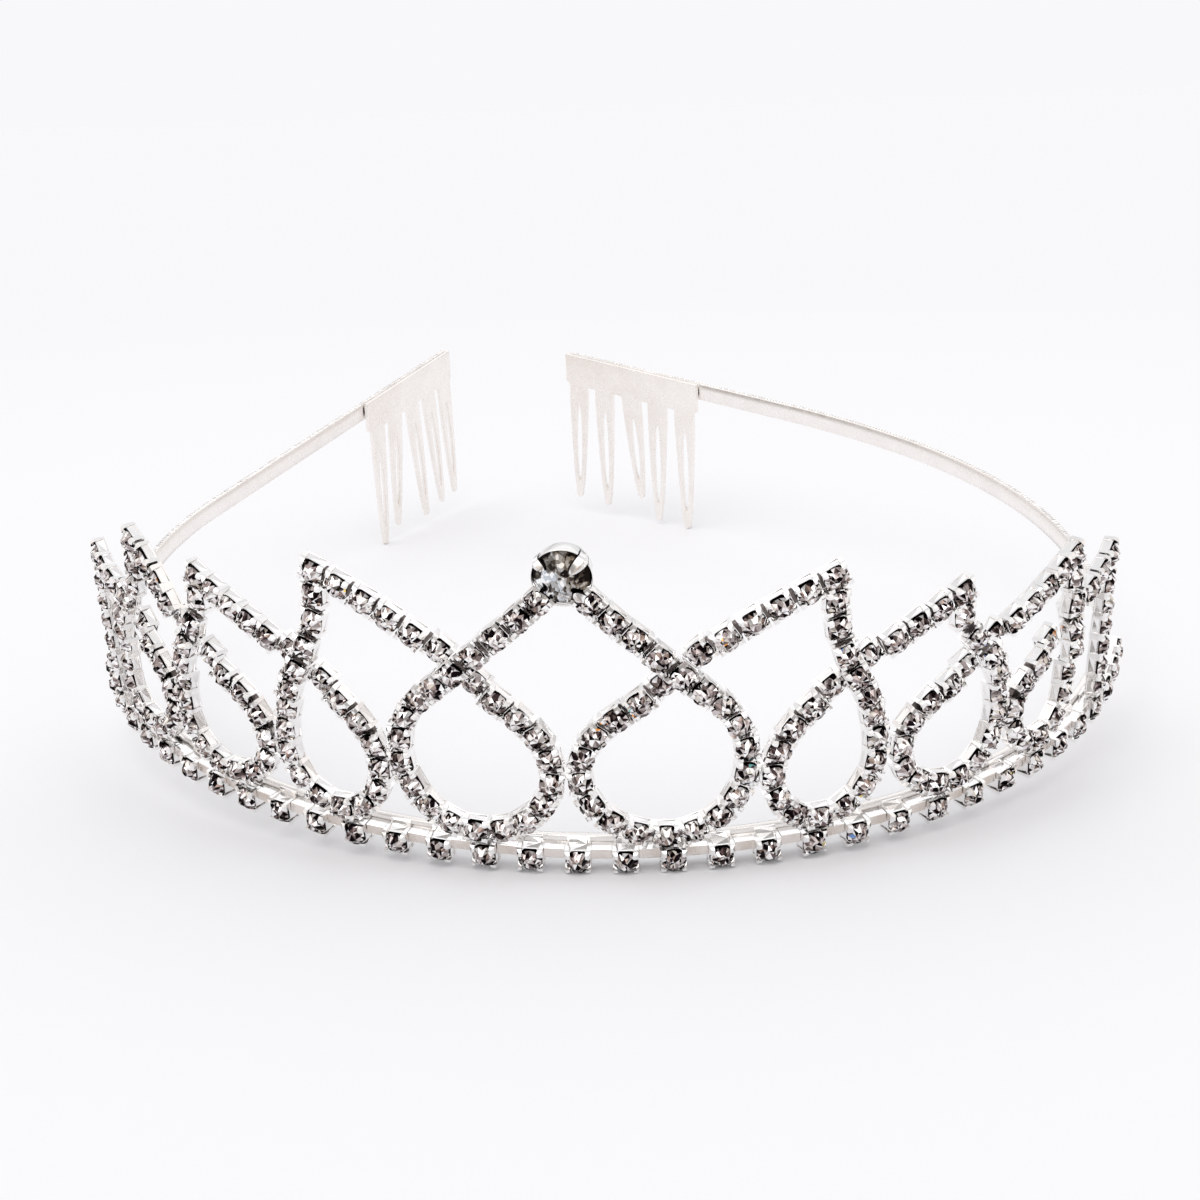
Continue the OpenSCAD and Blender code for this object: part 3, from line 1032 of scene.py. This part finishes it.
def swept_strip():
    """The strip as a rounded bar along its course, closed at both ends."""
    face, edge = BAND_FACE, 0.14
    section = [
        (face, BAND_BASE + edge), (face, BAND_TOP - edge),
        (face - edge, BAND_TOP), (-face + edge, BAND_TOP),
        (-face, BAND_TOP - edge), (-face, BAND_BASE + edge),
        (-face + edge, BAND_BASE), (face - edge, BAND_BASE),
    ]
    steps = 360
    stops = np.linspace(-LEFT_LENGTH, RIGHT_LENGTH, steps + 1)
    points = [on_strip(s, w, reach) for s in stops for reach, w in section]
    faces = [wall[::-1] for wall in ring_walls(steps + 1, 8)]
    faces += [tuple(range(8)), tuple(range(8 * steps + 7, 8 * steps - 1, -1))]
    strip = mesh_piece("headband_strip", stand(points), faces)
    strip.data.materials.append(ARM_SILVER)
    strip.data.materials.append(OUTER_FACE_PAINTED_SHADE)
    # The bare arms take a painted shade on their outer face and lower edge, and so does
    # each end.
    outer = [
        i % 8 in (0, 7) and abs(stops[i // 8]) > ARM_START for i in range(8 * steps)
    ]
    strip.data.polygons.foreach_set("material_index", [*map(int, outer), 1, 1])
    return strip


strip = soften(swept_strip(), 50)
keep(strip, "band_metal", "headband")

tick_stops = [
    s
    for s in np.arange(-LEFT_LENGTH + 0.4, RIGHT_LENGTH - 0.3, TICK_PITCH)
    if abs(s) > ARM_START
]
ticks = place_marks(
    "headband_milling",
    [(on_strip(s, BAND_TOP, 0), (0, 0, 1), ways_at(s)[1]) for s in tick_stops],
)
keep(set_on_marks(ticks, MILLING, SILVER, lean=0.12, spin=0.1, seed=31), "band_metal")


# Centre setting.


def at_centre(points):
    """Points of the centre setting: +Z out of the glass, +Y up, about its middle."""
    h = math.radians(CENTRE_HEADING)
    placed = [
        (x * math.cos(h) + (z + GLASS_SEAT) * math.sin(h),
         x * math.sin(h) - (z + GLASS_SEAT) * math.cos(h),
         y + GLASS_RISE)
        for x, y, z in points
    ]
    return stand(placed)


def centre_collar():
    """Round collar with a double rim, a painted shade inside above, and four claws."""
    # Radius, level and lift of each ring, from the back over the rim to the inside.
    profile = [
        (2.68, -2.42, 0), (2.8, -2.34, 0), (2.87, -2.1, 0), (3.04, -0.8, 0),
        (3.13, -0.2, 0), (3.14, -0.04, 0), (3.12, 0.06, 0), (3.06, 0.1, 0),
        (3.03, -0.1, 0.04), (2.98, 0.04, 0.14), (2.92, -0.02, GLASS_LIFT),
        (2.6, -2.0, 0), (0.02, -2.0, 0),
    ]
    sides = 64
    points = []
    for r, z, up in profile:
        points += [
            (r * math.cos(t), r * math.sin(t) + up, z)
            for t in (2 * math.pi * i / sides for i in range(sides))
        ]
    faces = ring_walls(len(profile), sides)
    # Painted shade: the upper part of the inner wall and the floor inside the collar are
    # dark.
    inner_wall = 10 * sides
    dark = {
        inner_wall + i
        for i in range(sides)
        if math.sin((2 * i + 1) * math.pi / sides) > -0.5
    }
    dark |= set(range(inner_wall + sides, len(faces)))
    shaded = set()
    faces += [
        tuple(range(sides - 1, -1, -1)),
        tuple(range((len(profile) - 1) * sides, len(profile) * sides)),
    ]
    dark.add(len(faces) - 1)
    for angle, length, width in CENTRE_CLAWS:
        n = len(points)
        leaf, leaf_faces = claw_leaf(math.radians(angle), length, width)
        points += leaf
        # Skirts and underside of the claw take a painted shadow, and one flank of its
        # ridge over the glass a painted shade.
        walls = len(leaf_faces) - 2
        dark |= {len(faces) + i for i in range(walls) if i % 8 in (0, 5, 6, 7)}
        shaded |= {len(faces) + i for i in range(3 * 8, 6 * 8) if i % 8 == 2}
        faces += [tuple(n + i for i in f) for f in leaf_faces]
    collar = mesh_piece("centre_collar", at_centre(points), faces)
    for finish in (SILVER, CUP_SHADOW, PAINTED_SHADE_STEEL):
        collar.data.materials.append(finish)
    finishes = [1 if i in dark else 2 if i in shaded else 0 for i in range(len(faces))]
    collar.data.polygons.foreach_set("material_index", finishes)
    return collar


def claw_leaf(angle, length, width):
    """Ridged leaf of a claw that rises from the collar and folds over the glass, with
    a narrow skirt under it in painted shadow."""
    # Distance from the middle, level and share of the width, up the collar and then over.
    rows = [(3.08, -1.3, 0.8), (3.2, -0.2, 0.9), (3.14, 0.32, 1.0)]
    for part in (0.25, 0.5, 0.75, 0.92, 1.0):
        rows.append((
            3.06 - length * part, 0.62 + 0.5 * part * length / 2,
            math.sqrt(1.02 - part**2),
        ))
    points = []
    for r, z, share in rows:
        half = width * share
        for across, lift in CLAW_SECTION:
            x, y = r + lift * 0.7 * share, across * half
            points.append((
                x * math.cos(angle) - y * math.sin(angle),
                x * math.sin(angle) + y * math.cos(angle),
                z + lift * share,
            ))
    last = 8 * (len(rows) - 1)
    faces = ring_walls(len(rows), 8)
    faces += [tuple(range(7, -1, -1)), tuple(range(last, last + 8))]
    return points, faces


collar = soften(tidy_outside(centre_collar()), 40)
keep(collar, "setting_metal", "centre_setting")

glass_shape = cut_stone("centre_glass_shape", GLASS_RADIUS, 0.5, 0.76, 0.8, 0.3, 0.2)
GLASS = shelf_of("centre_glass_shelf", glass_shape)
glass_spot = on_strip(0.0, GLASS_RISE + GLASS_LIFT, GLASS_SEAT + 0.04)
glass = place_marks("centre_glass", [(glass_spot, *ways_at(0.0))])
middle = (stand([glass_spot])[0] * MM).tolist()
SMOKE_GLASS = smoke_glass("smoke_glass", middle, GLASS_RADIUS * MM, 22.1)
keep(set_on_marks(glass, GLASS, SMOKE_GLASS, seed=5), "centre_glass", "centre_stone")


# Combs.


def comb_outline(teeth):
    """Outline of the spine with its teeth, and the slit in each tooth, as rows of
    points on the comb's own plane."""
    outline = [(0, SPINE_HEIGHT), (0, 0)]
    slits = []
    for root, tip, drop in teeth:
        lean = (tip - root) / drop
        sides = []
        for sign in (-1, 1):
            side = []
            for t in np.linspace(0, 1, 9):
                y = -TOOTH_TOP - t * (drop - TOOTH_TOP - TOOTH_FOOT)
                width = TOOTH_HALF * (1 - t) ** 0.72 + TIP_RADIUS * t ** 0.6
                middle = root + lean * -y
                side.append((middle + sign * width, y))
            sides.append(side)
        tip_round = [
            (tip + TIP_RADIUS * math.cos(a), -drop + TIP_RADIUS + TIP_RADIUS * math.sin(a))
            for a in np.linspace(math.pi, 2 * math.pi, 7)
        ]
        outline += sides[0][:-1] + tip_round + sides[1][-2::-1]
        slit = []
        slit_middle = -(drop + SLIT_TOP - SLIT_FOOT) / 2
        slit_reach = (drop - SLIT_TOP - SLIT_FOOT) / 2
        for a in np.linspace(0, 2 * math.pi, 25)[:-1]:
            y = slit_middle + math.sin(a) * slit_reach
            slit.append((root + lean * -y + SLIT_HALF * math.cos(a), y))
        slits.append(slit)
    outline += [(COMB_LENGTH, 0), (COMB_LENGTH, SPINE_HEIGHT)]
    return outline, slits


def comb_plate(name, side, full_length, teeth):
    """Comb as a flat outline with slits, thickened with rounded edges."""
    outline, slits = comb_outline(teeth)
    flat = bpy.data.curves.new(name, "CURVE")
    flat.dimensions = "2D"
    flat.fill_mode = "BOTH"
    for row in [outline] + slits:
        line = flat.splines.new("POLY")
        line.points.add(len(row) - 1)
        for point, (x, y) in zip(line.points, row):
            point.co = (x, y, 0, 1)
        line.use_cyclic_u = True
    flat.bevel_depth = COMB_EDGE
    flat.bevel_resolution = 2
    flat.extrude = COMB_THICKNESS / 2 - COMB_EDGE
    flat.offset = -COMB_EDGE
    drawn = bpy.data.objects.new(name + "_flat", flat)
    bpy.context.scene.collection.objects.link(drawn)
    graph = bpy.context.evaluated_depsgraph_get()
    mesh = bpy.data.meshes.new_from_object(drawn.evaluated_get(graph), depsgraph=graph)
    bpy.data.objects.remove(drawn)
    start = full_length - COMB_LENGTH
    sign = -1 if side == "left" else 1
    reach = -BAND_FACE - COMB_GAP - COMB_THICKNESS / 2
    x0, y0, _ = on_strip(sign * start, 0, reach)
    heading = strip_point(sign * start)[2]
    go = (sign * math.cos(heading), sign * math.sin(heading))
    away = (-math.sin(heading), math.cos(heading))
    points = []
    for v in mesh.vertices:
        x, y, z = v.co
        points.append((
            x0 + x * go[0] + z * away[0],
            y0 + x * go[1] + z * away[1],
            y + BAND_TOP - SPINE_HEIGHT,
        ))
    faces = [tuple(p.vertices) for p in mesh.polygons]
    # The side that faces the strip takes the same painted shade as the strip's outer face.
    outer = [int(p.center.z < 0.1 - COMB_THICKNESS / 2) for p in mesh.polygons]
    bpy.data.meshes.remove(mesh)
    piece = mesh_piece(name, stand(points), faces)
    piece.data.materials.append(COMB_STEEL)
    piece.data.materials.append(OUTER_FACE_PAINTED_SHADE)
    piece.data.polygons.foreach_set("material_index", outer)
    return soften(tidy_outside(piece, 0.01 * MM), 35)


for side, length, teeth in (
    ("left", LEFT_LENGTH, LEFT_TEETH), ("right", RIGHT_LENGTH, RIGHT_TEETH)
):
    plate = comb_plate(f"comb_{side}_plate", side, length, teeth)
    keep(plate, "comb_metal", "comb_" + side)


# Floor, light, camera.


def studio():
    """Pale floor with a painted pool of light in the middle, white surroundings and a soft
    lamp above.
    """
    floor = mesh_piece(
        "floor",
        [(FLOOR_RADIUS * math.cos(t), FLOOR_RADIUS * math.sin(t), 0)
         for t in np.linspace(0, 2 * math.pi, 65)[:-1]],
        [tuple(range(64))],
    )
    material, tree, shader = finish_named("floor_paper", Roughness=0.9)
    shader.inputs["Specular IOR Level"].default_value = 0.0
    place = add_node(tree, "ShaderNodeTexCoord").outputs["Object"]
    far = add_node(tree, "ShaderNodeVectorMath", {"operation": "LENGTH"}, _0=place)
    # Painted light: the floor is a little paler near the middle than far off.
    tint = stepped_ramp(
        tree, far.outputs["Value"],
        [(0.1, (0.828, 0.832, 0.853)), (0.45, (0.8, 0.806, 0.825))], False,
    )
    tree.links.new(tint, shader.inputs["Base Color"])
    floor.data.materials.append(material)

    surroundings()
    sun = bpy.data.lights.new("soft_sky_lamp", "SUN")
    sun.energy = 0.9
    sun.angle = math.radians(60)
    holder = bpy.data.objects.new("soft_sky_lamp", sun)
    holder.rotation_euler = (math.radians(28), math.radians(-14), 0)
    bpy.context.scene.collection.objects.link(holder)


# Brightness of the studio by height, from straight down to straight up, behind the
# tiara and in front of it.
BEHIND = [(0.0, 0.9), (0.5, 0.8), (0.56, 0.5), (0.6, 1.05), (0.622, 0.55), (0.645, 1.1),
          (0.7, 1.1), (0.722, 0.65), (0.745, 1.1), (0.88, 1.15), (0.94, 0.8), (1.0, 0.9)]
BEFORE = [(0.0, 0.9), (0.5, 0.7), (0.57, 0.35), (0.68, 0.45), (0.74, 1.1), (0.9, 1.0),
          (1.0, 0.8)]


def surroundings():
    """White studio with paler and darker zones that the metal and the glass reflect."""
    world = bpy.data.worlds.new("white_studio")
    bpy.context.scene.world = world
    world.use_nodes = True
    tree = world.node_tree
    way = add_node(tree, "ShaderNodeTexCoord").outputs["Generated"]
    axes = add_node(tree, "ShaderNodeSeparateXYZ", Vector=way)
    height = spread(tree, axes.outputs["Z"], 0.0, 1.0, From_Min=-1.0, From_Max=1.0)
    rows = []
    for zones, warm in ((BEHIND, (1, 1, 1.01)), (BEFORE, (1, 0.985, 0.97))):
        steps = [
            (place, tuple(v * w / STUDIO_STRENGTH for w in warm)) for place, v in zones
        ]
        rows.append(stepped_ramp(tree, height, steps, False))
    side = add_node(
        tree, "ShaderNodeMapRange", {"interpolation_type": "SMOOTHSTEP"},
        Value=axes.outputs["Y"], From_Min=-0.35, From_Max=0.35,
    )
    shade = add_node(
        tree, "ShaderNodeMix", {"data_type": "RGBA"},
        _0=side.outputs["Result"], _6=rows[1], _7=rows[0],
    )
    beside = add_node(
        tree, "ShaderNodeMapRange", {"interpolation_type": "SMOOTHSTEP"},
        Value=maths(tree, "ABSOLUTE", axes.outputs["X"]), From_Min=0.45, From_Max=0.9,
    )
    warmed = add_node(
        tree, "ShaderNodeMix", {"data_type": "RGBA", "blend_type": "MULTIPLY"},
        _0=beside.outputs["Result"], _6=shade.outputs[2], _7=(1.0, 0.955, 0.925, 1.0),
    )
    light = add_node(
        tree, "ShaderNodeBackground", Color=warmed.outputs[2], Strength=STUDIO_STRENGTH
    )
    plain = add_node(
        tree, "ShaderNodeBackground", Color=(0.941, 0.937, 0.952, 1), Strength=1.0
    )
    seen = add_node(tree, "ShaderNodeLightPath").outputs["Is Camera Ray"]
    choice = add_node(
        tree, "ShaderNodeMixShader", _0=seen, _1=light.outputs[0], _2=plain.outputs[0]
    )
    tree.links.new(choice.outputs[0], tree.nodes["World Output"].inputs["Surface"])


def photo_camera():
    """Camera in front of the tiara, at the photograph's angle."""
    lens = bpy.data.cameras.new("photo_camera")
    lens.lens = CAMERA_LENS
    lens.sensor_width = 36
    lens.clip_start = 0.01
    lens.clip_end = 20
    camera = bpy.data.objects.new("photo_camera", lens)
    camera.matrix_world = (
        Matrix.Translation(CAMERA_PLACE)
        @ Matrix.Rotation(math.radians(90 - CAMERA_DOWN), 4, "X")
        @ Matrix.Rotation(math.radians(-CAMERA_ROLL), 4, "Z")
    )
    bpy.context.scene.collection.objects.link(camera)
    bpy.context.scene.camera = camera


studio()
photo_camera()
bpy.context.scene.view_settings.view_transform = "Standard"

clear_shelves()
